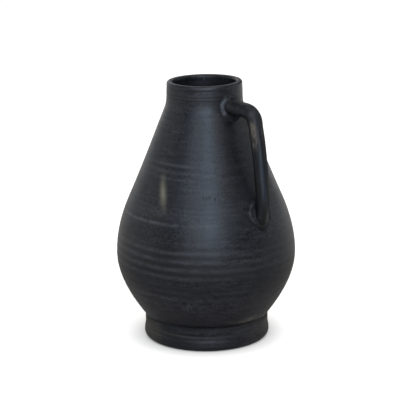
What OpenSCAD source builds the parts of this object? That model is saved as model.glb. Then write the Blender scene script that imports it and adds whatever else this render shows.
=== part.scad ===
// Black terracotta vase with one handle, thrown in sections and luted together with slip.
// The origin is the centre of the foot's resting face, +Z is up and the handle stands towards +X.

/* [Vase] */
// Overall height, resting face to lip
vase_h = 360; // [345:1:400]
// Thickness of the thrown wall, square to its face
wall_t = 8; // [6:0.5:10]
// Thickness of the slip that lutes each joint
slip_t = 0.8; // [0.5:0.1:1.2]
// Width of the tongue that keys one section into the next
tongue_w = 4; // [3:0.5:5]
// Height of that tongue
tongue_h = 3; // [2:0.5:4]

/* [Foot ring] */
// Height of the foot ring, resting face to crease
foot_h = 33.5; // [28:0.5:42]
// Diameter of the foot at its waist and crease
foot_d = 171.6; // [160:0.2:184]
// Height of the waist
foot_waist_h = 21; // [16:0.5:26]
// How far the toe stands out beyond the waist
toe_flare = 1.5; // [0.5:0.1:3]
// Height of the toe's widest line
toe_h = 6.5; // [5:0.5:9]
// How far the toe's lower edge is rounded in
toe_round = 5; // [3:0.5:6]
// Width of the ring's wall at its top
foot_wall = 14; // [13:0.5:20]
// How far the ring's inner face opens out towards the floor
foot_draft = 2; // [0.5:0.5:3]
// Rounding of the ring's inner lower edge
heel_round = 3; // [1:0.5:3]

/* [Body] */
// Lean of the wall where it springs from the foot, from upright
crease_lean = 37.5; // [32:0.5:42]
// Diameter of the belly at its widest
belly_d = 248.4; // [240:0.2:258]
// Height of the belly's widest line
belly_h = 121; // [114:0.5:130]
// Height of the seam between the two thrown halves
belly_seam_h = 180; // [160:1:195]
// Diameter where the shoulder straightens into a cone
shoulder_d = 209.8; // [200:0.2:216]
// Height of that shoulder line
shoulder_h = 201; // [197:0.5:208]
// Lean of the wall at the shoulder, from upright
shoulder_lean = 24; // [20:0.5:27]
// Thickness of the floor
floor_t = 11; // [8:0.5:15]
// Rounding of the inside corner between floor and wall
floor_round = 16; // [8:1:22]

/* [Neck] */
// Height of the neck's root below the lip, where the cone turns upright
neck_root_drop = 38; // [34:0.5:42]
// Diameter of the neck at its root
neck_root_d = 110.4; // [107:0.2:114]
// Lean of the wall at the neck's root, from upright
neck_lean = 22; // [18:0.5:25]
// Height of the collar, seam to lip
collar_h = 24; // [22:0.5:28]
// Diameter of the collar at its seam
collar_d = 104.4; // [102:0.2:106]
// Diameter of the lip
lip_d = 103.2; // [101:0.2:106]
// Diameter of the mouth
mouth_d = 85.6; // [82:0.2:88]

/* [Handle] */
// Width of the handle bar, across the handle's plane
bar_w = 20.6; // [17:0.2:24]
// Thickness of the handle bar, in the handle's plane
bar_t = 18; // [15:0.2:21]
// Depth of the arm's centre line below the lip
arm_drop = 33.5; // [31:0.5:38]
// Reach of the arm's outer corner beyond the lip
arm_reach = 43; // [36:0.5:46]
// Length of each side of the bend at the arm's outer corner
arm_bend = 15; // [10:0.5:20]
// How far the bar bows out between its two corners
bar_bow = 4; // [0:0.5:6]
// Height at which the bar's centre line lands on the wall
landing_h = 187; // [180:0.5:200]
// Height of the bar's lower corner above that landing
landing_rise = 19; // [15:0.5:24]
// Stand-off of the lower corner from the wall beside it
landing_stand = 12; // [8:0.5:13]
// Length of each side of the bend at the lower corner
landing_bend = 13; // [8:0.5:15]
// How much the bar thickens on every side towards its two ends
bar_swell = 1.2; // [0:0.2:2]
// Distance over which it does so
swell_l = 14; // [10:1:20]

/* [Pads] */
// Width of the pad that joins the handle to the neck
upper_pad_w = 35; // [33:0.5:40]
// Height of that upper pad, along the wall
upper_pad_h = 29; // [27:0.5:32]
// Width of the pad that joins the handle to the shoulder
lower_pad_w = 37; // [33:0.5:42]
// Height of that lower pad, along the wall
lower_pad_h = 37; // [33:0.5:42]
// Height of the lower pad's centre above the point where the bar lands
lower_pad_rise = 2.5; // [0:0.5:5]
// How far a pad's rim stands out from the wall
pad_rim_t = 5; // [4:0.5:6]
// Thickness of a pad's dished middle, where the bar is pressed in
pad_floor_t = 2.5; // [2:0.1:3.5]
// Width of a pad's rim
pad_rim_w = 4; // [3:0.5:4.5]
// Clearance between the bar and a pad's rim
bar_clear = 0.5; // [0.3:0.1:1]

/* [Hidden] */
$fn = 96;

// Spacing of the points along a thrown wall
station = 4;
// Points in a rounded edge, in a bend of the handle, along the handle and around it
edge_steps = 8;
bend_steps = 10;
handle_rings = 52;
handle_sides = 28;
// How far the handle's sweep runs on past the wall's face before the wall cuts it
handle_embed = 18;
// Points around the outline of a pad, and how far its outline runs to either side of the wall's face
pad_sides = 40;
pad_reach = 16;
// Step for measuring the wall's slope
slope_step = 0.05;

body_colour = "#2c2e33";
slip_colour = "#3a3a3b";

foot_r = foot_d / 2;
mouth_r = mouth_d / 2;
floor_z = foot_h + floor_t;
neck_root_z = vase_h - neck_root_drop;
neck_seam_z = vase_h - collar_h;
lip_round = (lip_d - mouth_d) / 4;
lip_z = vase_h - lip_round;
collar_slope = (lip_d - collar_d) / 2 / (lip_z - neck_seam_z);

// The outer wall above the crease, as [height, radius, slope] where its curve changes
WALL = [
    [foot_h, foot_r, tan(crease_lean)],
    [belly_h, belly_d / 2, 0],
    [shoulder_h, shoulder_d / 2, -tan(shoulder_lean)],
    [neck_root_z, neck_root_d / 2, -tan(neck_lean)],
    [neck_seam_z, collar_d / 2, collar_slope],
    [lip_z, lip_d / 2, collar_slope],
];

// Curves of the thrown wall

// Cubic between two [height, radius, slope] knots
function cubic(z, a, b) =
    let (h = b[0] - a[0], t = (z - a[0]) / h)
    (2 * t^3 - 3 * t^2 + 1) * a[1] + (t^3 - 2 * t^2 + t) * h * a[2]
    + (3 * t^2 - 2 * t^3) * b[1] + (t^3 - t^2) * h * b[2];

// Index of the stretch of wall that holds a height
function stretch(z) = max([for (i = [0:len(WALL) - 2]) if (i == 0 || z >= WALL[i][0]) i]);

// Outer radius, slope and inner radius of the wall at a height
function outer(z) = let (i = stretch(z)) cubic(z, WALL[i], WALL[i + 1]);
function slope(z) = (outer(z + slope_step) - outer(z - slope_step)) / (2 * slope_step);
function offset_in(z) = outer(z) - wall_t * sqrt(1 + slope(z)^2);
function inner(z) =
    z >= neck_seam_z ? mouth_r
    : z <= neck_root_z ? offset_in(z)
    : cubic(z, [neck_root_z, offset_in(neck_root_z), -tan(neck_lean)], [neck_seam_z, mouth_r, 0]);

// Heights along the wall from one end to the other, in either direction, on a grid that all pieces share
function reversed(list) = [for (i = [len(list) - 1:-1:0]) list[i]];
function rising(low, high) = concat(
    [low],
    [for (i = [floor(low / station):ceil(high / station)])
        if (i * station > low + station / 4 && i * station < high - station / 4) i * station],
    [high]);
function heights(from, to) = from < to ? rising(from, to) : reversed(rising(to, from));
function outer_line(from, to) = [for (z = heights(from, to)) [outer(z), z]];
function inner_line(from, to) = [for (z = heights(from, to)) [inner(z), z]];

// Quadratic curve from a to c that heads for b at both ends
function arc_through(a, b, c, steps) =
    [for (i = [0:steps]) let (t = i / steps) (1 - t)^2 * a + 2 * t * (1 - t) * b + t^2 * c];

// Keyed joints

// The keyed line across a wall, from its outer radius to its inner one, with the tongue standing up
function key_line(z, outside, inside, middle) = [
    [outside, z],
    [middle + tongue_w / 2, z],
    [middle, z + tongue_h],
    [middle - tongue_w / 2, z],
    [inside, z],
];
function wall_key(z, seam) = key_line(z, outer(z), inner(z), (outer(seam) + inner(seam)) / 2);
function foot_key(z) = key_line(z, foot_r, foot_r - foot_wall, foot_r - foot_wall / 2);

// A ring of slip between the keyed lines below and above it
module slip_ring(below, above) {
    color(slip_colour)
        rotate_extrude()
            polygon(concat(below, reversed(above)));
}

// Thrown pieces

// The foot: a thrown ring with a waist, a rounded toe and an inner face that opens downwards
module foot_ring() {
    toe_r = foot_r + toe_flare;
    heel_r = foot_r - foot_wall + foot_draft;
    top_z = foot_h - slip_t;
    toe = [for (i = [0:edge_steps]) let (a = 90 * i / edge_steps)
        [toe_r - toe_round + toe_round * sin(a), toe_h - toe_h * cos(a)]];
    waist = [for (z = heights(toe_h, foot_waist_h))
        [cubic(z, [toe_h, toe_r, 0], [foot_waist_h, foot_r, 0]), z]];
    heel = [for (i = [0:edge_steps]) let (a = 90 * i / edge_steps)
        [heel_r + heel_round - heel_round * cos(a), heel_round - heel_round * sin(a)]];
    color(body_colour)
        rotate_extrude()
            polygon(concat(toe, waist, foot_key(top_z), heel));
}

module foot_slip() {
    slip_ring(foot_key(foot_h - slip_t), foot_key(foot_h));
}

// The lower half: a thrown bowl with its own floor, grooved below for the foot's tongue
module lower_body() {
    top_z = belly_seam_h - slip_t;
    curve_top_z = floor_z + floor_round;
    floor_r = inner(floor_z);
    groove = reversed(foot_key(foot_h));
    inside_corner = arc_through(
        [inner(curve_top_z), curve_top_z], [floor_r, floor_z], [floor_r - floor_round, floor_z], edge_steps);
    color(body_colour)
        rotate_extrude()
            polygon(concat(
                [[0, foot_h]], groove, outer_line(foot_h, top_z), wall_key(top_z, belly_seam_h),
                inner_line(top_z, curve_top_z), inside_corner, [[0, floor_z]]));
}

module belly_slip() {
    slip_ring(wall_key(belly_seam_h - slip_t, belly_seam_h), wall_key(belly_seam_h, belly_seam_h));
}

// The upper half: a thrown cone that turns upright at the neck's root
module upper_body() {
    top_z = neck_seam_z - slip_t;
    color(body_colour)
        rotate_extrude()
            polygon(concat(
                reversed(wall_key(belly_seam_h, belly_seam_h)), outer_line(belly_seam_h, top_z),
                wall_key(top_z, neck_seam_z), inner_line(top_z, belly_seam_h)));
}

module neck_slip() {
    slip_ring(wall_key(neck_seam_z - slip_t, neck_seam_z), wall_key(neck_seam_z, neck_seam_z));
}

// The collar: an upright ring with a rounded lip, straight inside
module neck_collar() {
    lip_middle = (lip_d + mouth_d) / 4;
    lip = [for (i = [0:2 * edge_steps]) let (a = 90 * i / edge_steps)
        [lip_middle + lip_round * cos(a), lip_z + lip_round * sin(a)]];
    color(body_colour)
        rotate_extrude()
            polygon(concat(
                reversed(wall_key(neck_seam_z, neck_seam_z)), outer_line(neck_seam_z, lip_z), lip));
}

// Handle

function unit(v) = v / norm(v);
function bend(a, b, c, side) = arc_through(b + unit(a - b) * side, b, b + unit(c - b) * side, bend_steps);

// Corners of the handle's centre line, as [distance from the vase's axis, height]
arm_z = vase_h - arm_drop;
landing = [outer(landing_h), landing_h];
low_corner_z = landing_h + landing_rise;
lower_pad_z = landing_h + lower_pad_rise;
arm_corner = [lip_d / 2 + arm_reach, arm_z];
low_corner = [outer(low_corner_z) + landing_stand, low_corner_z];
in_neck = [outer(arm_z) - handle_embed, arm_z];
in_belly = landing + unit(landing - low_corner) * handle_embed;
across = unit([arm_corner[1] - low_corner[1], low_corner[0] - arm_corner[0]]);
bow_corner = (arm_corner + low_corner) / 2 + across * bar_bow;
bow_side = norm(arm_corner - low_corner) / 4;

handle_line = concat(
    [in_neck],
    bend(in_neck, arm_corner, bow_corner, arm_bend),
    bend(arm_corner, bow_corner, low_corner, bow_side),
    bend(bow_corner, low_corner, in_belly, landing_bend),
    [in_belly]);

// Length along the centre line at each of its points, and the point and direction at a length
handle_run = [for (i = 0, s = 0; i < len(handle_line);
    s = s + (i + 1 < len(handle_line) ? norm(handle_line[i + 1] - handle_line[i]) : 0), i = i + 1) s];
handle_l = handle_run[len(handle_run) - 1];
function on_line(s) = [for (axis = [0, 1])
    lookup(s, [for (i = [0:len(handle_line) - 1]) [handle_run[i], handle_line[i][axis]]])];
function heading(s) = unit(on_line(min(s + 1, handle_l)) - on_line(max(s - 1, 0)));

// How much of the swelling towards the wall is left at a distance from it
function swelling(distance) = (1 - min(1, max(0, distance / swell_l)))^2;
function swollen(s, size) =
    size / 2 + bar_swell * (swelling(s - handle_embed) + swelling(handle_l - handle_embed - s));

// The rolled bar with its two swollen ends, run on into the wall
module handle_sweep() {
    rings = [for (k = [0:handle_rings])
        let (s = handle_l * k / handle_rings, at = on_line(s), along = heading(s),
            half_w = swollen(s, bar_w), half_t = swollen(s, bar_t))
        [for (j = [0:handle_sides - 1])
            let (a = 360 * j / handle_sides, out = half_t * cos(a))
            [at[0] - along[1] * out, half_w * sin(a), at[1] + along[0] * out]]];
    sides = [for (k = [0:handle_rings - 1], j = [0:handle_sides - 1])
        let (a = k * handle_sides + j, b = k * handle_sides + (j + 1) % handle_sides)
        each [[a, a + handle_sides, b + handle_sides], [a, b + handle_sides, b]]];
    first = [for (j = [0:handle_sides - 1]) j];
    last = [for (j = [handle_sides - 1:-1:0]) handle_rings * handle_sides + j];
    polyhedron([for (ring = rings) each ring], concat([first, last], sides));
}

// The vase's outside as a solid, grown outwards, from the lower wall to the lip
module grown_wall(grow) {
    face = [for (z = heights(belly_h, lip_z))
        let (m = slope(z), k = grow / sqrt(1 + m^2)) [outer(z) + k, z - k * m]];
    rotate_extrude()
        polygon(concat([[0, belly_h]], face, [[0, lip_z]]));
}

module handle_bar() {
    color(body_colour)
        difference() {
            handle_sweep();
            grown_wall(pad_floor_t);
        }
}

// Stands its children on the wall at a height, with their Z square to it and their X down it
module on_wall(z) {
    translate([outer(z), 0, z])
        rotate([0, 90 + atan(slope(z)), 0])
            children();
}

// A prism with a pad's oval outline, through the wall
module pad_prism(w, h, z) {
    on_wall(z)
        linear_extrude(2 * pad_reach, center = true)
            polygon([for (i = [0:pad_sides - 1])
                let (a = 360 * i / pad_sides) [h / 2 * cos(a), w / 2 * sin(a)]]);
}

// An oval pad on the wall: a thin floor that the bar is pressed on, between two crescents of raised rim
module pad(w, h, z) {
    channel_w = bar_w + 2 * bar_swell + 2 * bar_clear;
    color(body_colour)
        difference() {
            intersection() {
                pad_prism(w, h, z);
                grown_wall(pad_rim_t);
            }
            grown_wall(slip_t);
            difference() {
                union() {
                    pad_prism(w - 2 * pad_rim_w, h - 2 * pad_rim_w, z);
                    on_wall(z)
                        cube([2 * h, channel_w, 2 * pad_reach], center = true);
                }
                grown_wall(pad_floor_t);
            }
        }
}

module pad_slip(w, h, z) {
    color(slip_colour)
        difference() {
            intersection() {
                pad_prism(w, h, z);
                grown_wall(slip_t);
            }
            grown_wall(0);
        }
}

module upper_pad() {
    pad(upper_pad_w, upper_pad_h, arm_z);
}

module upper_pad_slip() {
    pad_slip(upper_pad_w, upper_pad_h, arm_z);
}

module lower_pad() {
    pad(lower_pad_w, lower_pad_h, lower_pad_z);
}

module lower_pad_slip() {
    pad_slip(lower_pad_w, lower_pad_h, lower_pad_z);
}

foot_ring();
foot_slip();
lower_body();
belly_slip();
upper_body();
neck_slip();
neck_collar();
upper_pad_slip();
upper_pad();
handle_bar();
lower_pad();
lower_pad_slip();
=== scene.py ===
from math import pi, radians, sqrt, tan
from types import SimpleNamespace

import bmesh
import bpy
import numpy as np
from mathutils import Matrix, Vector


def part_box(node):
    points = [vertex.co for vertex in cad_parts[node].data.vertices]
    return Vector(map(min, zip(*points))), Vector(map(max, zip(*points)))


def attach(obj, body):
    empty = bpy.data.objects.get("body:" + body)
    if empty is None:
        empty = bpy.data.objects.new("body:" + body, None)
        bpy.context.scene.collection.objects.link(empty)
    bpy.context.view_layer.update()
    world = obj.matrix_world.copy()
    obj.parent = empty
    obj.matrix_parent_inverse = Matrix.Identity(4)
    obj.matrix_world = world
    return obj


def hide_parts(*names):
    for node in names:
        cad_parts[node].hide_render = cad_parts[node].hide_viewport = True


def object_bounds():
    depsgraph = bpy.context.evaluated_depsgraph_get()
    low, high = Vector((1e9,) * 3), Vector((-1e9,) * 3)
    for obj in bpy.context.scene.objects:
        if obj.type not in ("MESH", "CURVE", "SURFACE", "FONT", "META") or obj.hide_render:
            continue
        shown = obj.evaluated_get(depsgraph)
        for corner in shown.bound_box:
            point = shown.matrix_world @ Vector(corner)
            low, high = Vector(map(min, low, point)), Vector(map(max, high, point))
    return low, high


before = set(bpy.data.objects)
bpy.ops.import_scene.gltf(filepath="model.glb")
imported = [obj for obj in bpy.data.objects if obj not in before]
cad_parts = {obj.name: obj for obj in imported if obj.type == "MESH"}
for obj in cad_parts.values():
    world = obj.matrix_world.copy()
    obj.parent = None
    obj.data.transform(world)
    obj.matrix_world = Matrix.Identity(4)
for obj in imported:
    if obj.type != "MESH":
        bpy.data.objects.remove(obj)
cad_low, cad_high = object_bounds()

# Foot ring
# A thick ring of clay thrown by itself, drawn in at the waist and rounded at the toe on which it stands.
# Slip lutes it under the bowl, and a tongue on its top seats in a groove of the bowl's floor.

# Points round a turned piece, the height of a row of its faces, and the angle past which an edge stays sharp
TURNS, ROW, SHARP_ANGLE = 200, 0.0008, 38
TONGUE_W, TONGUE_H = 0.004, 0.003
TOE_H, TOE_ROUND, TOE_FLARE = 0.0075, 0.007, 0.0015
WAIST_H, FOOT_WALL, FOOT_DRAFT, HEEL_ROUND, TOP_ROUND = 0.021, 0.014, 0.002, 0.003, 0.0008
foot_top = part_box("foot_slip")[0].z
crease_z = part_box("lower_body")[0].z
toe_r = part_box("foot_ring")[1].x
foot_r = toe_r - TOE_FLARE
around = np.arange(TURNS) * 2 * pi / TURNS
# The crease between the foot and the bowl, pressed deepest at the front and filled a little at the back
CREASE_DEPTH, CREASE_HALF = 0.0013, 0.0030
CREASE_DEEPEST, CREASE_FADE, CREASE_FILL = radians(-36), 4.5, 0.4
wiped = (1 + CREASE_FILL) * (0.5 + 0.5 * np.cos(around - CREASE_DEEPEST)) ** CREASE_FADE - CREASE_FILL
# Turned grooves: height, depth and half width
FOOT_GROOVES = [(0.0283, 0.00016, 0.0012), (0.0225, 0.00026, 0.0013), (0.0165, 0.00030, 0.0015),
                (0.0092, 0.00022, 0.0012)]
# How far a groove sways and how much it is worn round the vase, and how far on the next one does so
GROOVE_SWAY, GROOVE_WEAR, NEXT_SWAY, NEXT_WEAR = 0.0005, 0.25, 1.9, 2.3
# Wipes of a wet cloth: where each starts and ends in degrees from the handle, its height, how far it falls
# on its way, its half width and its strength
EARTHY_WIPES = [(-110, -52, 0.0224, 0.0024, 0.0016, 0.6)]
FOOT_WIPES = [(-70, 20, 0.0195, -0.0004, 0.0013, 0.45), (-22, 18, 0.0250, -0.0010, 0.0022, 0.5)]


def arc(middle, wide, tall, start, end, steps):
    """Points of radius and height along part of an ellipse, its angles in degrees."""
    turn = np.radians(np.linspace(start, end, steps + 1))
    return np.stack([middle[0] + wide * np.cos(turn), middle[1] + tall * np.sin(turn)], -1)


def ease(share):
    """Runs smoothly from 0 to 1 as the share does."""
    share = np.clip(share, 0, 1)
    return share * share * (3 - 2 * share)


def rows(low, high, step=ROW):
    """Even heights from one to the other, in either direction."""
    return np.linspace(low, high, max(2, round(abs(high - low) / step) + 1))


def key_line(height, outside, inside, middle):
    """The keyed line across a wall, from its outer radius to its inner one."""
    half = TONGUE_W / 2
    return np.array([(outside, height), (middle + half, height), (middle, height + TONGUE_H),
                     (middle - half, height), (inside, height)])


def foot_key(height):
    """The keyed line across the top of the foot."""
    return key_line(height, foot_r, foot_r - FOOT_WALL, foot_r - FOOT_WALL / 2)


def grooves(height, cuts):
    """Depth of turned grooves at each height and angle, each swaying and worn in its own direction."""
    dent = np.zeros((len(height), TURNS))
    for number, (at, depth, half) in enumerate(cuts):
        line = at + GROOVE_SWAY * np.cos(around - NEXT_SWAY * number)
        worn = 1 - GROOVE_WEAR + GROOVE_WEAR * np.cos(around * 2 + NEXT_WEAR * number)
        dent += depth * worn * np.exp(-(((height[:, None] - line) / half) ** 2))
    return dent


def pressed_in(height):
    """Depth of the crease at each height and angle."""
    return CREASE_DEPTH * wiped * np.exp(-(((height[:, None] - crease_z) / CREASE_HALF) ** 2))


def loft(name, rings, looped=False):
    """Closed mesh through rings of points: a loop of rings, or a row of them closed at both ends."""
    count, turns = rings.shape[:2]
    points = rings.reshape(-1, 3)
    row = np.arange(count if looped else count - 1)[:, None] * turns
    col = np.arange(turns)
    ahead, above = (col + 1) % turns, (row + turns) % (count * turns)
    faces = np.stack([row + col, row + ahead, above + ahead, above + col], -1).reshape(-1, 4).tolist()
    if not looped:
        ends = (points[:turns].mean(0), points[-turns:].mean(0))
        first, last = len(points), len(points) - turns
        faces += [(first, b, a) for a, b in zip(col.tolist(), ahead.tolist())]
        faces += [(first + 1, last + a, last + b) for a, b in zip(col.tolist(), ahead.tolist())]
        points = np.concatenate([points, ends])
    mesh = bpy.data.meshes.new(name)
    mesh.from_pydata(points.tolist(), [], faces)
    shell = bmesh.new()
    shell.from_mesh(mesh)
    bmesh.ops.recalc_face_normals(shell, faces=shell.faces)
    shell.to_mesh(mesh)
    shell.free()
    mesh.shade_smooth()
    mesh.set_sharp_from_angle(angle=radians(SHARP_ANGLE))
    piece = bpy.data.objects.new(name, mesh)
    bpy.context.scene.collection.objects.link(piece)
    return piece


def turned(name, outline, dents, looped=True):
    """A thrown piece: its outline of radius and height turned about the axis, dented in its first rows."""
    radius = np.repeat(outline[:, :1], TURNS, 1)
    radius[: len(dents)] -= dents
    height = np.repeat(outline[:, 1:], TURNS, 1)
    return loft(name, np.stack([radius * np.cos(around), radius * np.sin(around), height], -1), looped)


class Field:
    """A value that changes over a surface: it wraps a node's socket, and sums on it add Math nodes."""

    def __init__(self, tree, socket=None):
        self.tree = tree
        self.socket = socket

    def node(self, kind, settings, values, output=0):
        """Adds a node of this kind, with its settings and the values or links of its sockets."""
        made = self.tree.nodes.new("ShaderNode" + kind)
        for key, value in settings.items():
            setattr(made, key, value)
        for key, value in values.items():
            if isinstance(value, Field):
                self.tree.links.new(value.socket, made.inputs[key])
            else:
                made.inputs[key].default_value = value
        return Field(self.tree, made.outputs[output] if made.outputs else None)

    def math(self, operation, *terms):
        """Adds a Math node on the terms, or on this field alone."""
        return self.node("Math", {"operation": operation}, dict(enumerate(terms or (self,))))

    def __add__(self, other):
        return self.math("ADD", self, other)

    def __sub__(self, other):
        return self.math("SUBTRACT", self, other)

    def __rsub__(self, other):
        return self.math("SUBTRACT", other, self)

    def __mul__(self, other):
        return self.math("MULTIPLY", self, other)

    def __truediv__(self, other):
        return self.math("DIVIDE", self, other)

    def __pow__(self, other):
        return self.math("POWER", self, other)

    __radd__ = __add__
    __rmul__ = __mul__

    def ramp(self, low, high):
        """0 below one value and 1 above the other, smooth between them."""
        return self.node("MapRange", {"interpolation_type": "SMOOTHSTEP"}, {0: self, 1: low, 2: high})

    def over(self, under, colour):
        """The colour laid over another by this share."""
        return self.node("Mix", {"data_type": "RGBA"}, {0: self, 6: under, 7: colour}, 2)


def shade(red, green, blue):
    """A colour written as a screen shows it, from 0 to 255, for a shader."""
    part = [value / 255 for value in (red, green, blue)]
    return (*[p / 12.92 if p <= 0.04045 else ((p + 0.055) / 1.055) ** 2.4 for p in part], 1)


# The dark and the pale of the fired clay, the same low on the vase where it is earthier, and its plain colour
SOOT, ASH = shade(17, 18, 21), shade(42, 43, 46)
EARTH_DARK, EARTH = shade(16, 14, 17), shade(44, 40, 45)
PLAIN = shade(30, 31, 33)
EARTHY_TOP, EARTHY_FULL = 0.13, 0.06
# Smoke that stayed in hollows, also laid as painted shade, clay rubbed pale, also laid as painted highlight
# and
# # reflection, and earth that shows where the foot is worn, also laid as painted light
SMOKE_AND_SHADE, RUBBED_AND_SHEEN, EARTH_WORN_AND_LIT = shade(9, 9, 11), shade(52, 52, 55), shade(58, 55, 50)
GLOSS, BUMP, BUMP_DEPTH = 0.25, 0.12, 0.001


def grain(place, stretch, detail=3.0, rough=0.55):
    """Noise drawn out along the wheel's turn: cycles a metre across, and up."""
    drawn = place.node("VectorMath", {"operation": "MULTIPLY"}, {0: place, 1: stretch})
    return drawn.node("TexNoise", {}, {"Vector": drawn, "Scale": 1.0, "Detail": detail, "Roughness": rough})


def burnished(name, rolled=False):
    """Black-fired clay polished along the wheel's turn, or up a rolled bar: the fields of its material."""
    material = bpy.data.materials.new(name)
    material.use_nodes = True
    tree = material.node_tree
    tree.nodes.clear()
    place = Field(tree).node("TexCoord", {}, {}, "Object")
    x, y, height = [place.node("SeparateXYZ", {}, {0: place}, axis) for axis in range(3)]
    fine = grain(place, (700, 700, 22) if rolled else (48, 48, 900))
    bands = grain(place, (190, 190, 12) if rolled else (7, 7, 190))
    mottle = grain(place, (180, 180, 70) if rolled else (90, 90, 210), 4.0, 0.6)
    pores = grain(place, (300, 300, 340), 2.0)
    streaks = grain(place, (300, 300, 14) if rolled else (32, 32, 420))
    tone = (streaks * 0.36 + mottle * 0.30 + pores * 0.34).ramp(0.39, 0.61)
    smooth = grain(place, (16, 16, 55), 3.0).ramp(0.40, 0.62)
    earthy = height.ramp(EARTHY_TOP, EARTHY_FULL) * 0.8
    colour = tone.over(earthy.over(SOOT, EARTH_DARK), earthy.over(ASH, EARTH))
    colour = (smooth * 0.65).over(colour, PLAIN)
    return SimpleNamespace(
        material=material, place=place, height=height, angle=y.math("ARCTAN2", y, x),
        across=y, radius=(x * x + y * y).math("SQRT"), bands=bands, mottle=mottle, colour=colour,
        rough=0.31 + bands.ramp(0.3, 0.7) * 0.04 + mottle * 0.06 + pores * 0.04,
        lift=fine * 0.4 + bands * 0.4 + mottle * 0.4 + pores * 0.6)


def stain(clay, mask, colour):
    """Lays a colour on the clay where the mask is."""
    clay.colour = mask.over(clay.colour, colour)


def bell(value, half):
    """A soft bump of 1 where the value is 0, gone at about twice its half width."""
    share = value / half
    return (0 - share * share).math("EXPONENT")


def patch(clay, angle, height, wide, tall, lean=0.0):
    """A soft oval mark: its angle from the handle and half width in degrees, its lean in degrees a metre."""
    up = clay.height - height
    return bell(clay.angle - radians(angle) - up * radians(lean), radians(wide)) * bell(up, tall)


def stroke(clay, start, end, height, fall, half):
    """A line along the wall between two angles from the handle, falling a little on its way."""
    along = (clay.angle - radians(start)) / radians(end - start)
    return bell(clay.height - height + along * fall, half) * along.ramp(-0.1, 0.2) * along.ramp(1.1, 0.8)


def wipe(clay, wipes, colour):
    """Lays strokes of one colour on the clay."""
    for start, end, height, fall, half, strength in wipes:
        stain(clay, stroke(clay, start, end, height, fall, half) * strength, colour)


def stretch_between(clay, start, full, still_full, end):
    """A stretch of wall between angles from the handle in degrees, soft at both ends."""
    return clay.angle.ramp(radians(start), radians(full)) * clay.angle.ramp(radians(end), radians(still_full))


def crease_shade_front(clay, strength):
    """How strongly shade is painted along the crease, most of it near the front."""
    return 0.1 + strength * bell(clay.angle - radians(-40), radians(34))


def scored(clay, cuts, strength):
    """Darkens the turned grooves, which hold more smoke."""
    for at, _, half in cuts:
        stain(clay, bell(clay.height - at, half) * strength * clay.bands.ramp(0.25, 0.6), SMOKE_AND_SHADE)


def dress(piece, node, clay):
    """Gives a piece its finish and its place in the frame."""
    normal = clay.lift.node("Bump", {}, {"Strength": BUMP, "Distance": BUMP_DEPTH, "Height": clay.lift})
    skin = clay.lift.node("BsdfPrincipled", {}, {
        "Base Color": clay.colour, "Roughness": clay.rough, "Specular IOR Level": GLOSS, "Normal": normal})
    skin.node("OutputMaterial", {}, {"Surface": skin})
    piece.data.materials.append(clay.material)
    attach(piece, "root")
    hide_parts(node)


toe = arc((toe_r - TOE_ROUND, TOE_H), TOE_ROUND, TOE_H, -90, 0, 14)
shoulder = arc((foot_r - TOP_ROUND, foot_top - TOP_ROUND), TOP_ROUND, TOP_ROUND, 0, 90, 8)
waist_z = rows(TOE_H, foot_top - TOP_ROUND)[1:-1]
waist_r = toe_r - TOE_FLARE * ease((waist_z - TOE_H) / (WAIST_H - TOE_H))
heel_r = foot_r - FOOT_WALL + FOOT_DRAFT
heel = arc((heel_r + HEEL_ROUND, HEEL_ROUND), HEEL_ROUND, HEEL_ROUND, 180, 270, 8)
foot_face = np.concatenate([toe, np.stack([waist_r, waist_z], -1), shoulder])
foot_outline = np.concatenate([foot_face, foot_key(foot_top)[1:], heel])
foot_dents = grooves(foot_face[:, 1], FOOT_GROOVES) + pressed_in(foot_face[:, 1])
foot = turned("thrown_foot", foot_outline, foot_dents)
foot_clay = burnished("foot_clay")
scored(foot_clay, FOOT_GROOVES, 0.4)
# Painted shade along the top of the foot under the crease, strongest at the front
shade_by_crease = foot_clay.height.ramp(foot_top - 0.006, foot_top - 0.001)
stain(foot_clay, shade_by_crease * crease_shade_front(foot_clay, 0.4), SMOKE_AND_SHADE)
blotch = foot_clay.mottle.ramp(0.35, 0.6)
# A paler, earthier stretch on the left of the foot: partly worn earth, partly painted reflection of the walls
stain(foot_clay, stretch_between(foot_clay, -80, -102, -140, -178) * (0.75 + 0.25 * blotch), EARTH_WORN_AND_LIT)
stain(foot_clay, stretch_between(foot_clay, -26, 20, 120, 178) * (0.3 + 0.3 * blotch), EARTH_WORN_AND_LIT)
wipe(foot_clay, EARTHY_WIPES, EARTH_WORN_AND_LIT)
wipe(foot_clay, FOOT_WIPES, RUBBED_AND_SHEEN)
# A painted highlight, mottled, low on the front of the foot
front_sheen = patch(foot_clay, -36, 0.0145, 15, 0.006) * foot_clay.mottle.ramp(0.30, 0.55)
stain(foot_clay, front_sheen * 0.5, RUBBED_AND_SHEEN)
foot_clay.rough = foot_clay.rough + bell(foot_clay.height - foot_top, 0.0045) * 0.4
dress(foot, "foot_ring", foot_clay)

# Foot slip
# A thin bed of wet clay between the foot and the bowl, which shows only as the dark line of the crease.
# It follows the keyed line of the joint on both of its faces.

SLIP_SUNK = 0.0001
crease = np.roll(np.concatenate([foot_key(foot_top), foot_key(crease_z)[::-1]]), 1, 0)
foot_slip = turned("foot_luting", crease, np.stack([CREASE_DEPTH * wiped + SLIP_SUNK] * 2))
foot_slip_clay = burnished("foot_slip_clay")
stain(foot_slip_clay, foot_slip_clay.mottle.ramp(0.0, 0.3) * 0.4, SMOKE_AND_SHADE)
dress(foot_slip, "foot_slip", foot_slip_clay)

# Lower body
# The bowl of the vase, thrown with its own thick floor and opened to the belly in rising spirals of the
# fingers. Its upper edge carries the tongue of the belly seam.

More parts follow.
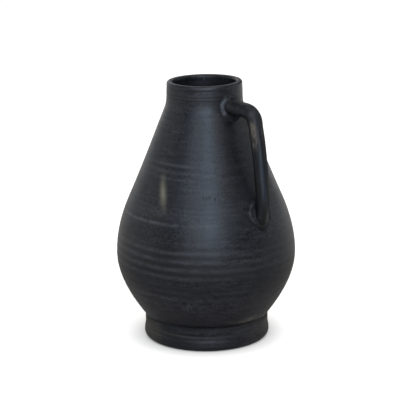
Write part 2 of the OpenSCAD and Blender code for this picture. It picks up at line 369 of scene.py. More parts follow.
WALL_T, FLOOR_T, FLOOR_ROUND = 0.008, 0.011, 0.016
BELLY_Z, SHOULDER_Z, NECK_ROOT_Z = 0.121, 0.201, 0.322
SHOULDER_R, NECK_ROOT_R, COLLAR_R, LIP_R, MOUTH_R = 0.1049, 0.0552, 0.0522, 0.0516, 0.0428
CREASE_LEAN, SHOULDER_LEAN, NECK_LEAN = 37.5, 24, 22
INSIDE_ROW, LIP_UNDER = 0.003, 0.0006
HUB_R, FLOOR_RINGS = 0.001, 24
lip_round = (LIP_R - MOUTH_R) / 2
rim_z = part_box("neck_collar")[1].z
lip_z = rim_z - lip_round
neck_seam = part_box("neck_collar")[0].z
belly_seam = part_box("upper_body")[0].z
belly_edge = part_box("belly_slip")[0].z
belly_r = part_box("lower_body")[1].x
collar_slope = (LIP_R - COLLAR_R) / (lip_z - neck_seam)
# The outer curve of the wall: height, radius and slope
WALL = np.array([
    (crease_z, foot_r, tan(radians(CREASE_LEAN))),
    (BELLY_Z, belly_r, 0),
    (SHOULDER_Z, SHOULDER_R, -tan(radians(SHOULDER_LEAN))),
    (NECK_ROOT_Z, NECK_ROOT_R, -tan(radians(NECK_LEAN))),
    (neck_seam, COLLAR_R, collar_slope),
    (lip_z, LIP_R, collar_slope),
])


def cubic(height, knots):
    """Radius at each height on a curve through knots of height, radius and slope."""
    i = np.clip(np.searchsorted(knots[:, 0], height, "right") - 1, 0, len(knots) - 2)
    low, high = knots[i], knots[i + 1]
    span = high[..., 0] - low[..., 0]
    up = (height - low[..., 0]) / span
    return ((2 * up**3 - 3 * up**2 + 1) * low[..., 1] + (up**3 - 2 * up**2 + up) * span * low[..., 2]
            + (3 * up**2 - 2 * up**3) * high[..., 1] + (up**3 - up**2) * span * high[..., 2])


def outer(height):
    """Outer radius of the wall."""
    return cubic(np.asarray(height, float), WALL)


def slope(height):
    """How fast the outer radius grows with the height."""
    step = 0.00005
    return (outer(height + step) - outer(height - step)) / (2 * step)


def inner(height):
    """Inner radius of the wall: even in thickness up to the neck's root, then straightening to the mouth."""
    height = np.asarray(height, float)
    even = outer(height) - WALL_T * np.sqrt(1 + slope(height) ** 2)
    root = NECK_ROOT_R - WALL_T * sqrt(1 + tan(radians(NECK_LEAN)) ** 2)
    neck = cubic(height, np.array([(NECK_ROOT_Z, root, -tan(radians(NECK_LEAN))), (neck_seam, MOUTH_R, 0)]))
    return np.where(height >= neck_seam, MOUTH_R, np.where(height <= NECK_ROOT_Z, even, neck))


def wall_key(height, seam):
    """The keyed line across the wall, at the seam or at the lower face of its slip."""
    return key_line(height, outer(height), inner(height), (outer(seam) + inner(seam)) / 2)


# Lines that the fingers left as the wheel turned, each set climbing as a spiral: the height of a crest at the
# front, its rise a turn, where the set begins and ends, its depth, its tone, the angle where it is deepest,
# and how soon it fades away from there
FINGER_LINES = [SimpleNamespace(at=at, rise=rise, low=low, high=high, depth=depth, tone=tone, deepest=deepest,
                                fade=fade)
                for at, rise, low, high, depth, tone, deepest, fade in [
                    (0.1474, 0.01115, 0.1058, 0.1600, 0.00021, 1.0, -92, 2),
                    (0.0921, 0.00980, 0.0613, 0.1068, 0.00014, 0.4, -100, 2),
                    (0.2020, 0.00620, 0.1880, 0.2140, 0.00010, 0.3, -80, 2),
                    (0.2554, 0.00820, 0.2319, 0.2639, 0.00022, 0.5, -84, 9),
                    (0.3068, 0.00900, 0.2700, 0.3350, 0.00005, 0.1, -60, 2),
                ]]
# The front as an angle from the handle, and the tilt of the lines, which lie lowest near it
FRONT, TILT, TILT_LOW = radians(-42), 0.003, radians(-47)
# The wall is a little oval and a little three-sided, and the second turns as it rises
SWAY, OVAL_TURN, SWAY_RISE = 0.00006, 0.7, 0.03


def cosine(value):
    """The cosine of a field or of numbers."""
    return value.math("COSINE") if isinstance(value, Field) else np.cos(value)


def between(value, low, high):
    """Runs from 0 at one value to 1 at the other, for a field or for numbers."""
    return value.ramp(low, high) if isinstance(value, Field) else ease((value - low) / (high - low))


def finger(up, angle, line):
    """How near a place lies to the crest of a finger line, from 0 to 1, and how plainly it shows there."""
    level = up - TILT * (1 - cosine(angle - TILT_LOW))
    crest = 0.5 + 0.5 * cosine((level - line.at) * (2 * pi / line.rise) + (angle - FRONT))
    turn = 0.5 + 0.5 * cosine(angle - radians(line.deepest))
    shown = between(level, line.low, line.low + line.rise) * between(level, line.high, line.high - line.rise)
    return crest, shown * (0.1 + 0.9 * turn ** line.fade)


def thrown(height):
    """How far the thrown wall lies inside its true round at each height and angle."""
    up = height[:, None]
    dent = SWAY * (1 - np.cos(2 * around + OVAL_TURN)) + SWAY * (1 - np.cos(3 * around - up / SWAY_RISE))
    for line in FINGER_LINES:
        crest, shown = finger(up, around, line)
        dent = dent + line.depth * shown * (1 - crest)
    return dent


def rounded(start, corner, end, steps):
    """Points along a curve from the start to the end, drawn towards the corner."""
    share = np.linspace(0, 1, steps)[:, None]
    return (1 - share) ** 2 * start + 2 * share * (1 - share) * corner + share**2 * end


def finger_tone(clay, low, high):
    """Rubs the crests of the finger lines pale and leaves smoke between them, from one height to another."""
    worn = 0.35 + 0.65 * clay.mottle.ramp(0.36, 0.62)
    for line in FINGER_LINES:
        if line.low < high and line.high > low:
            crest, shown = finger(clay.height, clay.angle, line)
            stain(clay, crest * shown * worn * line.tone, RUBBED_AND_SHEEN)
            stain(clay, (1 - crest) * shown * (0.55 * line.tone), SMOKE_AND_SHADE)


floor_z = crease_z + FLOOR_T
corner_z = floor_z + FLOOR_ROUND
lip_under = arc((foot_r - LIP_UNDER / 2, crease_z + LIP_UNDER), LIP_UNDER / 2, LIP_UNDER, -90, 0, 5)
bowl_z = rows(crease_z + LIP_UNDER, belly_edge)
bowl_face = np.stack([outer(bowl_z), bowl_z], -1)
bowl_inside_z = rows(belly_edge, corner_z, INSIDE_ROW)
bowl_inside = np.stack([inner(bowl_inside_z), bowl_inside_z], -1)
floor_r = inner(floor_z)
floor_edge = np.array([floor_r - FLOOR_ROUND, floor_z])
floor_corner = rounded(bowl_inside[-1], np.array([floor_r, floor_z]), floor_edge, 10)[1:]
floor_rows = np.array([(r, floor_z) for r in np.linspace(floor_edge[0], HUB_R, FLOOR_RINGS)[1:]])
bowl_outline = np.concatenate([
    bowl_face, wall_key(belly_edge, belly_seam)[1:-1], bowl_inside, floor_corner, floor_rows])
bowl_base = np.concatenate([[(HUB_R, crease_z)], foot_key(crease_z)[::-1][:-1], lip_under[:-1]])
bowl_dents = np.concatenate([np.zeros((len(bowl_base), TURNS)), thrown(bowl_z) + pressed_in(bowl_z)])
bowl_dents[len(bowl_base) - len(lip_under) + 1 : len(bowl_base)] = pressed_in(lip_under[:-1, 1])
bowl = turned("thrown_bowl", np.concatenate([bowl_base, bowl_outline]), bowl_dents, looped=False)
# Clay that shows tan, chalky slip and a thin wipe of it, and scuffs
CLAY_TAN, CHALK = shade(92, 88, 78), shade(114, 108, 92)
CHALK_WIPE, SCUFFED = shade(68, 68, 71), shade(66, 66, 68)
# Three specks low on the front: angle, height and half width in degrees
SPECKS, SPECK_TALL = [(-54, 0.0748, 0.8), (-55.5, 0.0685, 0.6), (-52.6, 0.0703, 0.4)], 0.0032


def speckle(clay, size):
    """Small specks scattered on the wall, a few to each centimetre."""
    return grain(clay.place, (1 / size, 1 / size, 1.3 / size), 2.0, 0.5).ramp(0.48, 0.62)


def smudged(clay):
    """The marks on both sides of the belly seam: pitted clay, a pale wipe of slip and the wipe's dark end."""
    pitted = stretch_between(clay, -112, -92, -56, -40)
    stain(clay, pitted * bell(clay.height - 0.1695, 0.011) * speckle(clay, 0.004) * 0.8, SMOKE_AND_SHADE)
    ragged = clay.mottle.ramp(0.3, 0.65)
    stain(clay, stroke(clay, -125, -60, 0.1847, 0.0016, 0.0020) * (0.25 + 0.75 * ragged), CHALK_WIPE)
    stain(clay, stroke(clay, -66, -30, 0.1836, -0.0004, 0.0018) * ragged * 0.3, CHALK_WIPE)
    stain(clay, patch(clay, -59.5, 0.1823, 1.4, 0.003) * 0.7, SMOKE_AND_SHADE)


bowl_clay = burnished("bowl_clay")
finger_tone(bowl_clay, crease_z, belly_edge)
smudged(bowl_clay)
blotch = bowl_clay.mottle.ramp(0.42, 0.66)
stain(bowl_clay, stroke(bowl_clay, -104, -30, 0.0833, 0.0008, 0.0032) * blotch * 0.5, SCUFFED)
stain(bowl_clay, bell(bowl_clay.height - 0.071, 0.012) * speckle(bowl_clay, 0.007) * 0.45, RUBBED_AND_SHEEN)
for angle, height, wide in SPECKS:
    stain(bowl_clay, patch(bowl_clay, angle, height, wide, SPECK_TALL) * 0.8, SCUFFED)
stain(bowl_clay, patch(bowl_clay, -2, 0.0418, 8, 0.0042, 350) * (0.6 + 0.4 * blotch), CLAY_TAN)
stain(bowl_clay, stroke(bowl_clay, -24, 46, 0.0404, 0.0046, 0.0025) * (0.35 + 0.4 * blotch), CLAY_TAN)
# Painted shade along the bottom of the bowl by the crease, strongest at the front
stain(bowl_clay, bell(bowl_clay.height - crease_z, 0.0035) * crease_shade_front(bowl_clay, 0.5), SMOKE_AND_SHADE)
# Painted reflection of the walls: the lower left of the bowl laid pale
lit_left = stretch_between(bowl_clay, -84, -104, -140, -178) * bowl_clay.height.ramp(0.098, 0.066)
stain(bowl_clay, lit_left * (0.7 + 0.3 * blotch), RUBBED_AND_SHEEN)
stain(bowl_clay, patch(bowl_clay, -8, 0.112, 20, 0.010) * 0.3, SMOKE_AND_SHADE)
dress(bowl, "lower_body", bowl_clay)

# Belly slip
# The bed of slip between the two thrown halves, spread over the bowl's tongue before the cone was set on it.
# It was wiped flush with the wall, and shows as a pale line on one side.


def keyed_slip(name, edge, seam):
    """A bed of slip in a seam of the wall, from its lower face to its upper one."""
    upper = wall_key(seam, seam)
    outline = np.concatenate([upper[:1], wall_key(edge, seam), upper[:0:-1]])
    return turned(name, outline, thrown(outline[:2, 1]))


belly_slip = keyed_slip("belly_luting", belly_edge, belly_seam)
belly_slip_clay = burnished("belly_slip_clay")
smudged(belly_slip_clay)
dress(belly_slip, "belly_slip", belly_slip_clay)

# Upper body
# The second thrown half, a tall cone set rim to rim on the bowl and drawn in to the root of the neck.
# A groove in its lower edge takes the bowl's tongue, and its upper edge carries the collar's.

CONE_WIPES = [(-94, -54, 0.2584, 0.0027, 0.0019, 0.95), (-94, -54, 0.2487, 0.0015, 0.0019, 0.5),
              (-94, -54, 0.2402, 0.0015, 0.0019, 0.5)]
# Four pits in a row on the front: angle and height
PITS, PIT_WIDE, PIT_TALL = [(-44, 0.2188), (-41.5, 0.2175), (-39, 0.2191), (-34.5, 0.2169)], 0.75, 0.0017
neck_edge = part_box("neck_slip")[0].z
cone_z = rows(belly_seam, neck_edge)
cone_inside_z = rows(neck_edge, belly_seam, INSIDE_ROW)
cone_outline = np.concatenate([
    np.stack([outer(cone_z), cone_z], -1), wall_key(neck_edge, neck_seam)[1:-1],
    np.stack([inner(cone_inside_z), cone_inside_z], -1), wall_key(belly_seam, belly_seam)[::-1][1:-1]])
cone = turned("thrown_cone", cone_outline, thrown(cone_z))
cone_clay = burnished("cone_clay")
finger_tone(cone_clay, belly_seam, neck_edge)
smudged(cone_clay)
mottled = 0.2 + 0.8 * speckle(cone_clay, 0.006)
stain(cone_clay, patch(cone_clay, -79, 0.1964, 17, 0.0060) * mottled * 0.8, RUBBED_AND_SHEEN)
wipe(cone_clay, CONE_WIPES, RUBBED_AND_SHEEN)
pinholes = grain(cone_clay.place, (300, 300, 330), 1.0).ramp(0.62, 0.72)
stain(cone_clay, pinholes * 0.6, SMOKE_AND_SHADE)
cone_clay.lift = cone_clay.lift - pinholes * 1.2
chalked = patch(cone_clay, -78.2, 0.2219, 2.9, 0.0165, -190)
stain(cone_clay, chalked * (0.6 + 0.5 * cone_clay.mottle) * 0.9, CHALK)
for angle, height in PITS:
    pit = patch(cone_clay, angle, height, PIT_WIDE, PIT_TALL)
    stain(cone_clay, pit * 0.7, SMOKE_AND_SHADE)
    cone_clay.lift = cone_clay.lift - pit * 2.0
    cone_clay.rough = cone_clay.rough + pit * 0.15
# Painted shadow of the handle on the wall beside it
stain(cone_clay, patch(cone_clay, -14, 0.268, 11, 0.045, -60) * 0.55, SMOKE_AND_SHADE)
# Painted shade in the crevice under the arm
stain(cone_clay, patch(cone_clay, -7, 0.309, 9, 0.006) * 0.9, SMOKE_AND_SHADE)
cone_clay.rough = cone_clay.rough - bell(cone_clay.height - 0.317, 0.011) * 0.04
dress(cone, "upper_body", cone_clay)

# Neck slip
# The bed of slip under the collar, spread over the cone's tongue before the collar was set on it.
# It was turned down flush with the wall, and only a fine line round the neck shows it.

neck_slip = keyed_slip("neck_luting", neck_edge, neck_seam)
dress(neck_slip, "neck_slip", burnished("neck_slip_clay"))

# Neck collar
# A short upright ring that finishes the neck, with a rounded lip and a straight mouth.
# It stands on the cone's tongue, and fine lines from the turning tool run round it.

LIP_SQUARE, RIM_DIP, RIM_HIGH, FRONT_DIP = 2.4, 0.0009, radians(48), 0.0013
COLLAR_GROOVES = [(0.3521, 0.00025, 0.0013), (0.3431, 0.00012, 0.0010), (0.3387, 0.00020, 0.0012)]
# Painted highlights: pale bands round the front of the collar, each with where it starts and ends, its
# height, how far it falls, its half width and its strength
COLLAR_SHEEN_BANDS = [(-72, -18, 0.3556, 0, 0.0018, 0.5), (-72, -18, 0.3459, 0, 0.0014, 0.35),
                (-72, -18, 0.3409, 0, 0.0010, 0.3)]
CHIP_ANGLE, CHIP_WIDE, CHIP_DEPTH = radians(139), radians(2.2), 0.0006
collar_z = rows(neck_seam, lip_z)[:-1]
lip_middle = (LIP_R + MOUTH_R) / 2
over = np.linspace(0, pi, 33)
over = np.stack([np.cos(over), np.sin(over)], -1)
lip = np.array([lip_middle, lip_z]) + lip_round * np.sign(over) * np.abs(over) ** (2 / LIP_SQUARE)
collar_face = np.concatenate([np.stack([outer(collar_z), collar_z], -1), lip])
mouth_z = rows(lip_z, neck_seam, INSIDE_ROW)[1:]
collar_outline = np.concatenate([
    collar_face, np.stack([np.full_like(mouth_z, MOUTH_R), mouth_z], -1),
    wall_key(neck_seam, neck_seam)[::-1][1:-1]])
outside = ease((collar_face[:, :1] - lip_middle) / lip_round)
inside = ease((lip_middle - collar_face[:, :1]) / lip_round)
chip = CHIP_DEPTH * np.exp(-(((around - CHIP_ANGLE) / CHIP_WIDE) ** 2))
collar_dents = thrown(collar_face[:, 1]) + grooves(collar_face[:, 1], COLLAR_GROOVES)
collar_dents = collar_dents * outside - chip * inside
collar = turned("thrown_collar", collar_outline, collar_dents)
for point in collar.data.vertices:
    share = ease((point.co.z - neck_seam) / (rim_z - neck_seam))
    side = np.arctan2(point.co.y, point.co.x)
    front = 0.5 + 0.5 * np.cos(side - FRONT)
    point.co.z -= share * (RIM_DIP * (0.5 - 0.5 * np.cos(side - RIM_HIGH)) + FRONT_DIP * front**2)
collar_clay = burnished("collar_clay")
finger_tone(collar_clay, neck_seam, rim_z)
scored(collar_clay, COLLAR_GROOVES, 0.6)
wipe(collar_clay, COLLAR_SHEEN_BANDS, RUBBED_AND_SHEEN)
# Painted highlight along the top of the lip
stain(collar_clay, collar_clay.height.ramp(rim_z - 0.0045, rim_z - 0.0015) * 0.3, RUBBED_AND_SHEEN)
# Darker on the inner wall of the mouth
stain(collar_clay, collar_clay.radius.ramp(MOUTH_R + 0.0014, MOUTH_R + 0.0004) * 0.45, SMOKE_AND_SHADE)
dress(collar, "neck_collar", collar_clay)

# Handle pads and their slip
# Two ovals of soft clay, luted to the neck and to the shoulder and dished with the thumb to take the bar.
# The press raised a crescent of lip on either side of the bar.

SLIP_T, PAD_FLOOR_T = 0.0008, 0.0022
ARM_Z, LANDING_Z, PAD_RISE = 0.3300, 0.1889, 0.0025
# Each pad's height on the wall, its width and height, how far aside of the bar it lies, its near lip and the
# # other one, where on its reach the lip is highest, where the lip starts to be pressed flat, and its painted
# shade
PADS = [
    SimpleNamespace(name="upper_pad", z=ARM_Z - 0.0020, wide=0.0390, tall=0.0380, aside=0.0018,
                    lip=0.0050, other=0.0046, crest=0.60, open=0.85, painted_shade=1.0),
    SimpleNamespace(name="lower_pad", z=LANDING_Z + PAD_RISE + 0.0012, wide=0.0410, tall=0.0375,
                    aside=0.0018, lip=0.0046, other=0.0042, crest=0.87, open=0.78, painted_shade=0.1),
]
PAD_TURNS, PAD_DISH, LIP_FULLNESS = 96, 0.5, 0.7
# The lip is flat over the bar and, more widely, under it, and the thumb left waves in the lip and the edge
FLAT_UNDER, FLAT_FADE = 1.4, 0.3
LIP_WAVE, EDGE_WAVE, EDGE_RIPPLE = 0.0003, 0.02, 0.012
# Rings of the slip under a pad: the share of the pad's reach, and of the slip's thickness
SLIP_RINGS = [(0.1, 0), (0.6, 0), (1, 0), (1, 0.3), (0.985, 0.7), (0.97, 1), (0.6, 1), (0.1, 1)]


def on_wall(across, up, out, z):
    """Points of a piece laid on the wall under the handle: across it, up along it and out from it."""
    height = z + up / sqrt(1 + slope(z) ** 2)
    lean = slope(height)
    away = out / np.sqrt(1 + lean**2)
    radius = outer(height) + away
    angle = across / outer(z)
    return np.stack([radius * np.cos(angle), radius * np.sin(angle), height - away * lean], -1)


for pad in PADS:
    turn = np.arange(PAD_TURNS) * 2 * pi / PAD_TURNS
    near = 0.5 - 0.5 * np.cos(turn)
    flat = ease((np.maximum(np.sin(turn), -FLAT_UNDER * np.sin(turn)) - pad.open) / FLAT_FADE)
    lip_h = pad.other + (pad.lip - pad.other) * near + LIP_WAVE * np.sin(5 * turn + 1) * np.sin(2 * turn)
    lip_h = lip_h + (PAD_FLOOR_T - lip_h) * flat
    reach = 1 + EDGE_WAVE * np.sin(3 * turn + 0.5) + EDGE_RIPPLE * np.sin(7 * turn)
    reach = reach / reach.max()

    def pad_ring(share, out):
        """The pad's edge drawn in to a share of its reach and lifted out from the wall."""
        across = pad.wide / 2 * reach * share * np.cos(turn) - pad.aside
        up = pad.tall / 2 * reach * share * np.sin(turn)
        return on_wall(across, up, np.broadcast_to(out, turn.shape), pad.z)

    rings = [pad_ring(share, SLIP_T) for share in (0.1, 0.5, 0.9, 1)]
    for share in np.linspace(1, pad.crest, 9)[1:]:
        rise = np.sin(pi / 2 * (1 - share) / (1 - pad.crest)) ** LIP_FULLNESS
        rings.append(pad_ring(share, SLIP_T + (lip_h - SLIP_T) * rise))
    for share in np.linspace(pad.crest, PAD_DISH, 12)[1:]:
        fall = ease((share - PAD_DISH) / (pad.crest - PAD_DISH))
        rings.append(pad_ring(share, PAD_FLOOR_T + (lip_h - PAD_FLOOR_T) * fall))
    rings += [pad_ring(share, PAD_FLOOR_T) for share in (0.35, 0.2, 0.08)]
    pressed = loft("pressed_" + pad.name, np.array(rings))
    pad_clay = burnished(pad.name + "_clay")
    aside = (pad_clay.angle * float(outer(pad.z)) + pad.aside) / (pad.wide / 2)
    up = (pad_clay.height - pad.z) * (sqrt(1 + slope(pad.z) ** 2) / (pad.tall / 2))
    share = (aside * aside + up * up).math("SQRT")
    # Painted shade in the dish inside the lip, and on the pad's lower part under the bar
    stain(pad_clay, share.ramp(pad.crest + 0.05, pad.crest - 0.12) * pad.painted_shade, SMOKE_AND_SHADE)
    stain(pad_clay, up.ramp(-0.45, -0.75) * 0.6, SMOKE_AND_SHADE)
    # Painted shade in the crevice under the bar, which is rougher there too
    shade_under_bar = aside.ramp(-0.42, -0.05) * up.ramp(-0.10, -0.35) * pad.painted_shade
    stain(pad_clay, shade_under_bar, SMOKE_AND_SHADE)
    pad_clay.rough = pad_clay.rough + shade_under_bar * 0.5
    # Painted light on the floor of the lower pad's dish, none on the upper pad's
    dish_light = share.ramp(pad.crest, pad.crest - 0.2) * aside.ramp(-0.1, -0.5)
    stain(pad_clay, dish_light * (0.6 - 0.6 * pad.painted_shade), RUBBED_AND_SHEEN)
    # A painted highlight on the crest of the near lip, mottled, fading towards the bottom
    crest = bell(share - pad.crest - 0.1, 0.12) * aside.ramp(0.1, -0.5)
    stain(pad_clay, crest * pad_clay.mottle.ramp(0.3, 0.6) * up.ramp(-0.75, -0.15) * 0.55, RUBBED_AND_SHEEN)
    dress(pressed, pad.name, pad_clay)
    bed = loft(pad.name + "_luting", np.array([pad_ring(share, SLIP_T * out) for share, out in SLIP_RINGS]))
    dress(bed, pad.name + "_slip", burnished(pad.name + "_slip_clay"))

# Handle bar
# A rolled bar of clay, bent while soft into a gently falling arm and a long drop, and pressed into the two
# pads. The bend pinched its inner side, and the drop was squared between the fingers and turned a little.

BAR_W, BAR_T, BAR_SEAT = 0.0200, 0.0175, 0.0014
ARM_REACH, ARM_BEND, ARM_LIFT, ELBOW_RISE, BAR_BOW = 0.0446, 0.017, 0.0009, -0.0029, 0.0034
LANDING_RISE, LANDING_STAND, LANDING_BEND = 0.019, 0.012, 0.013
ARM_EMBED, DROP_EMBED, TIP_ROUND = 0.009, 0.018, 0.018
# How much thicker the bar is at the neck, along the arm to just past the elbow, and at its foot
ARM_SWELL, ARM_SWELL_L, BAR_SWELL, SWELL_L = 0.0026, 0.024, 0.0012, 0.014
ARM_FAT, FAT_PAST_ELBOW, FAT_FADE = 0.0014, 0.020, 0.022
# The squared drop: how square, turned and slimmed it is, how soon that starts and ends, and how much rounder
# its lower part is
SQUARE, SQUARE_TWIST, SQUARE_SLIM = 1.3, radians(23), 0.03
WRUNG_START, WRUNG_END = 0.02, 0.03
ROUNDER, ROUNDER_AFTER, ROUNDER_L = 0.35, 0.040, 0.04
# The pinch inside the elbow, and the uneven rolling along the bar
PINCH, PINCH_HALF, PINCH_TURN = 0.02, 0.0035, 0.5
UNEVEN, UNEVEN_L, UNEVEN_TURN = 0.02, 0.011, 0.02
BAR_RINGS, BAR_SIDES, BEND_STEPS, HEADING_SPREAD = 170, 48, 16, 4
# The drop's lean, and the way across it along which its marks change: how much outward and how much aside
DROP_LEAN, ACROSS_OUT, ACROSS_ASIDE = 0.155, 0.67, 0.74
# The colour of the tan scuff, and of the painted cool highlight on the drop's ridge
TAN_SCUFF, COOL_RIDGE_SHEEN = shade(88, 80, 71), shade(45, 51, 60)


def toward(start, end):
    """The direction from one point to another."""
    return (end - start) / np.linalg.norm(end - start)


def bend(before, corner, after, side):
    """A corner of the bar's line rounded off, its curve starting and ending a side's length from it."""
    start, end = corner + toward(corner, before) * side, corner + toward(corner, after) * side
    return rounded(start, corner, end, BEND_STEPS)


arm_corner = np.array([LIP_R + ARM_REACH, ARM_Z + ELBOW_RISE])
low_z = LANDING_Z + LANDING_RISE
low_corner = np.array([outer(low_z) + LANDING_STAND, low_z])
landing = np.array([outer(LANDING_Z), LANDING_Z])
in_neck = np.array([outer(ARM_Z) - ARM_EMBED, ARM_Z])
in_belly = landing + toward(low_corner, landing) * DROP_EMBED
drop = arm_corner - low_corner
bow_corner = (arm_corner + low_corner) / 2 + np.array([drop[1], -drop[0]]) / np.linalg.norm(drop) * BAR_BOW
line = np.concatenate([
    [in_neck], bend(in_neck, arm_corner, bow_corner, ARM_BEND),
    bend(arm_corner, bow_corner, low_corner, np.linalg.norm(drop) / 4),
    bend(bow_corner, low_corner, in_belly, LANDING_BEND), [in_belly]])
run = np.concatenate([[0], np.cumsum(np.linalg.norm(np.diff(line, axis=0), axis=1))])
along = np.linspace(0, run[-1], BAR_RINGS)
centre = np.stack([np.interp(along, run, line[:, axis]) for axis in (0, 1)], -1)
heading = np.gradient(centre, along, axis=0)
spread = np.ones(2 * HEADING_SPREAD + 1) / (2 * HEADING_SPREAD + 1)
heading = np.stack([
    np.convolve(np.pad(part, HEADING_SPREAD, "edge"), spread, "valid") for part in heading.T], -1)
heading /= np.linalg.norm(heading, axis=1)[:, None]
elbow = run[np.argmin(np.linalg.norm(line - arm_corner, axis=1))]
neck_face, belly_face = ARM_EMBED, run[-1] - DROP_EMBED
root = np.clip(1 - (along - neck_face) / ARM_SWELL_L, 0, 1) ** 2
swell = ARM_SWELL * root + ARM_FAT * ease((elbow + FAT_PAST_ELBOW - along) / FAT_FADE)
swell += BAR_SWELL * np.clip(1 - (belly_face - along) / SWELL_L, 0, 1) ** 2
centre[:, 1] += ARM_LIFT * root
wrung = ease((along - elbow) / WRUNG_START) * ease((belly_face - along) / WRUNG_END)
squared = wrung * (1 - ROUNDER * ease((along - elbow - ROUNDER_AFTER) / ROUNDER_L))
spin = np.arange(BAR_SIDES) * 2 * pi / BAR_SIDES
power = 2 / (2 + SQUARE * squared[:, None])
slim = 1 - SQUARE_SLIM * squared[:, None]
thick = np.sign(np.cos(spin)) * np.abs(np.cos(spin)) ** power * (BAR_T / 2 + swell)[:, None] * slim
broad = np.sign(np.sin(spin)) * np.abs(np.sin(spin)) ** power * (BAR_W / 2 + swell)[:, None] * slim
twist = SQUARE_TWIST * wrung[:, None]
out, aside = thick * np.cos(twist) - broad * np.sin(twist), thick * np.sin(twist) + broad * np.cos(twist)
inner_side = (0.5 - 0.5 * np.cos(spin - PINCH_TURN)) ** 2
pinch = np.exp(-(((along - elbow) / PINCH_HALF) ** 2))[:, None] * inner_side
uneven = 1 + np.sin(along / UNEVEN_L)[:, None] * np.sin(spin * 2 + along[:, None] / UNEVEN_TURN)
shrink = 1 - PINCH * pinch - UNEVEN * uneven
tip = np.clip((along - run[-1] + TIP_ROUND) / TIP_ROUND, 0, 0.99)[:, None]
shrink = shrink * np.sqrt(1 - tip**3)
out, aside = out * shrink, aside * shrink
bar = np.stack([centre[:, :1] - heading[:, 1:] * out, aside, centre[:, 1:] + heading[:, :1] * out], -1)
seat = outer(np.clip(bar[..., 2], crease_z, lip_z)) + BAR_SEAT
bar_r = np.hypot(bar[..., 0], bar[..., 1])
bar[..., :2] *= (np.maximum(bar_r, seat) / bar_r)[..., None]
handle = loft("rolled_handle", bar)
handle_clay = burnished("handle_clay", rolled=True)
bar_z = handle_clay.height
blotch = handle_clay.mottle.ramp(0.36, 0.60)
# The lower drop darker, in blotches
stain(handle_clay, bar_z.ramp(0.285, 0.265) * (0.7 - 0.3 * blotch), SMOKE_AND_SHADE)
stain(handle_clay, patch(handle_clay, 3.5, 0.188, 3, 0.008) * blotch * 0.4, CLAY_TAN)
outward = handle_clay.radius - low_corner[0] + (bar_z - low_z) * DROP_LEAN
across_bar = outward * ACROSS_OUT + handle_clay.across * ACROSS_ASIDE
scuffed = across_bar.ramp(0.0022, -0.0004) * bar_z.ramp(0.274, 0.288) * bar_z.ramp(0.322, 0.311)
stain(handle_clay, scuffed * (0.15 + 0.8 * blotch), TAN_SCUFF)
# Painted shade on the bar's inner face, towards the wall
inner_face_shade = outward.ramp(0.0035, -0.0005) * bar_z.ramp(low_z - 0.01, low_z + 0.01)
stain(handle_clay, inner_face_shade * 0.9, SMOKE_AND_SHADE)
# Painted shade down the drop's near side, and along its near edge higher up
near_side_shade = across_bar.ramp(0.0030, -0.0042) * bar_z.ramp(0.288, 0.276)
stain(handle_clay, near_side_shade * 0.75, SMOKE_AND_SHADE)
near_edge_shade = across_bar.ramp(-0.0044, -0.0066) * bar_z.ramp(0.316, 0.306)
stain(handle_clay, near_edge_shade * 0.9, SMOKE_AND_SHADE)
# A painted cool highlight along the drop's ridge
ridge_sheen = across_bar.ramp(-0.0030, 0.0025) * bar_z.ramp(0.285, 0.265) * bar_z.ramp(0.204, 0.222)
stain(handle_clay, ridge_sheen * 0.45, COOL_RIDGE_SHEEN)
# Painted shade down the bar's far side, less of it on the upper drop; that side is rougher too
far_side_shade = across_bar.ramp(0.0040, 0.0070) * (1 - 0.6 * bar_z.ramp(0.288, 0.304))
stain(handle_clay, far_side_shade * 0.85, SMOKE_AND_SHADE)
handle_clay.rough = handle_clay.rough + far_side_shade * 0.3 + bell(bar_z - 0.318, 0.013) * 0.25
stain(handle_clay, bar_z.ramp(0.317, 0.328) * (0.12 + 0.26 * blotch), RUBBED_AND_SHEEN)
dress(handle, "handle_bar", handle_clay)

# Studio
# A white floor that keeps the vase's soft shadow, under a cool window and a broad soft box over the camera.
# Smaller boxes stand at its left and right, and pale walls and a ceiling show in the polish along the edges.

VIEW_AZIMUTH, VIEW_REACH, VIEW_HEIGHT, VIEW_DOWN = 48, 1.95502, 0.68407, 14.455
VIEW_PAN, VIEW_ROLL, LENS = -0.095, -0.516, 126.25
SENSOR_W = 36
LIGHT_REACH, WORLD_LIGHT = 2.2, 0.04
FLOOR_R, FLOOR_SIDES, FLOOR_COLOUR = 14, 96, (0.46, 0.42, 0.37, 1.0)
# How far the vase shades the floor, how white the floor is near it, and how bright in the polish near and far
SHADE_REACH, NEAR_WHITE, NEAR_SHEEN, FAR_SHEEN = 0.039, 0.85, 0.02, 0.30


def stand(azimuth, reach, height):
    """A place in the studio: its angle right of the camera, its distance from the axis and its height."""
    turn = radians(VIEW_AZIMUTH + azimuth)
    return Vector((reach * np.sin(turn), -reach * np.cos(turn), height))


def soft_light(name, azimuth, elevation, wide, tall, radiance, colour):
    """A soft box that faces the middle of the vase, at an angle right of the camera and an elevation."""
    lamp = bpy.data.lights.new(name, "AREA")
    lamp.shape, lamp.size, lamp.size_y = "RECTANGLE", wide, tall
    lamp.energy = radiance * pi * wide * tall
    lamp.color = colour
    box = bpy.data.objects.new(name, lamp)
    bpy.context.scene.collection.objects.link(box)
    middle = Vector((0, 0, (cad_low.z + cad_high.z) / 2))
    up = radians(elevation)
    box.location = middle + stand(azimuth, LIGHT_REACH * np.cos(up), LIGHT_REACH * np.sin(up))
    box.rotation_euler = (middle - box.location).to_track_quat("-Z", "Y").to_euler()
    box.visible_camera = False


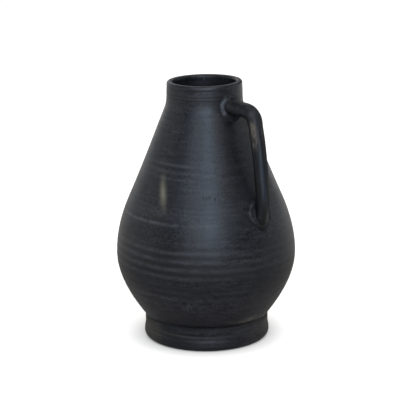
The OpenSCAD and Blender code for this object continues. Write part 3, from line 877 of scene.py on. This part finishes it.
soft_light("window", 6, 27, 0.55, 1.1, 7.4, (0.50, 0.71, 1.0))
soft_light("front_box", -1, 20, 2.2, 1.65, 2.6, (0.83, 0.90, 1.0))
soft_light("left_box", -29, 34, 1.1, 0.55, 2.8, (0.68, 0.80, 1.0))
soft_light("right_box", 36, 51, 1.1, 1.1, 2.9, (0.95, 0.96, 1.0))
soft_light("left_wall", -89, 13, 2.2, 1.8, 0.80, (0.97, 0.98, 1.0))
soft_light("back_left_wall", -148, 14, 2.2, 1.3, 0.80, (0.97, 0.98, 1.0))
soft_light("right_wall", 102, 21, 1.6, 1.6, 0.75, (0.93, 0.97, 1.0))
soft_light("back_right_wall", 142, -1, 2.2, 0.5, 0.75, (0.96, 0.96, 1.0))
soft_light("back_wall", 180, 38, 1.8, 1.5, 0.7, (0.96, 0.98, 1.0))
soft_light("ceiling", 0, 85, 1.6, 1.6, 1.1, (1.0, 0.95, 0.86))

world = bpy.data.worlds.new("studio")
world.use_nodes = True
bpy.context.scene.world = world
world.node_tree.nodes["Background"].inputs["Color"].default_value = (1.0, 1.0, 1.0, 1.0)
world.node_tree.nodes["Background"].inputs["Strength"].default_value = WORLD_LIGHT

floor_mesh = bpy.data.meshes.new("floor")
edge = np.arange(FLOOR_SIDES) * 2 * pi / FLOOR_SIDES
floor_mesh.from_pydata(
    [(FLOOR_R * np.cos(a), FLOOR_R * np.sin(a), cad_low.z) for a in edge], [], [list(range(FLOOR_SIDES))])
floor = bpy.data.objects.new("floor", floor_mesh)
bpy.context.scene.collection.objects.link(floor)
paper = bpy.data.materials.new("white_floor")
paper.use_nodes = True
paper.node_tree.nodes.clear()
ray = Field(paper.node_tree)
camera_ray, glossy_ray, clear_ray = [
    ray.node("LightPath", {}, {}, "Is %s Ray" % kind) for kind in ("Camera", "Glossy", "Transmission")]
ground = ray.node("NewGeometry", {}, {}, "Position")
away = ground.node("VectorMath", {"operation": "LENGTH"}, {0: ground}, "Value")
open_sky = ray.node("AmbientOcclusion", {"samples": 16}, {"Distance": SHADE_REACH}, "AO")
white = (NEAR_WHITE + (1 - NEAR_WHITE) * away.ramp(0.2, 0.5)) * open_sky
sheen = NEAR_SHEEN + FAR_SHEEN * away.ramp(0.2, 0.9)
seen = glossy_ray.math("MAXIMUM", glossy_ray, clear_ray) * sheen
glow = (white * (camera_ray + seen)).over((0.0, 0.0, 0.0, 1.0), (1.0, 1.0, 1.0, 1.0))
lit = ray.node("Emission", {}, {"Color": glow, "Strength": 1.0})
matt = ray.node("BsdfDiffuse", {}, {"Color": FLOOR_COLOUR})
both = ray.node("AddShader", {}, {0: lit, 1: matt})
both.node("OutputMaterial", {}, {"Surface": both})
floor_mesh.materials.append(paper)

lens = bpy.data.cameras.new("camera")
lens.lens, lens.sensor_width = LENS, SENSOR_W
camera = bpy.data.objects.new("camera", lens)
bpy.context.scene.collection.objects.link(camera)
camera.matrix_world = (
    Matrix.Translation(stand(0, VIEW_REACH, VIEW_HEIGHT))
    @ Matrix.Rotation(radians(VIEW_AZIMUTH + VIEW_PAN), 4, "Z")
    @ Matrix.Rotation(radians(90 - VIEW_DOWN), 4, "X")
    @ Matrix.Rotation(radians(VIEW_ROLL), 4, "Z"))
bpy.context.scene.camera = camera
bpy.context.scene.view_settings.view_transform = "Standard"
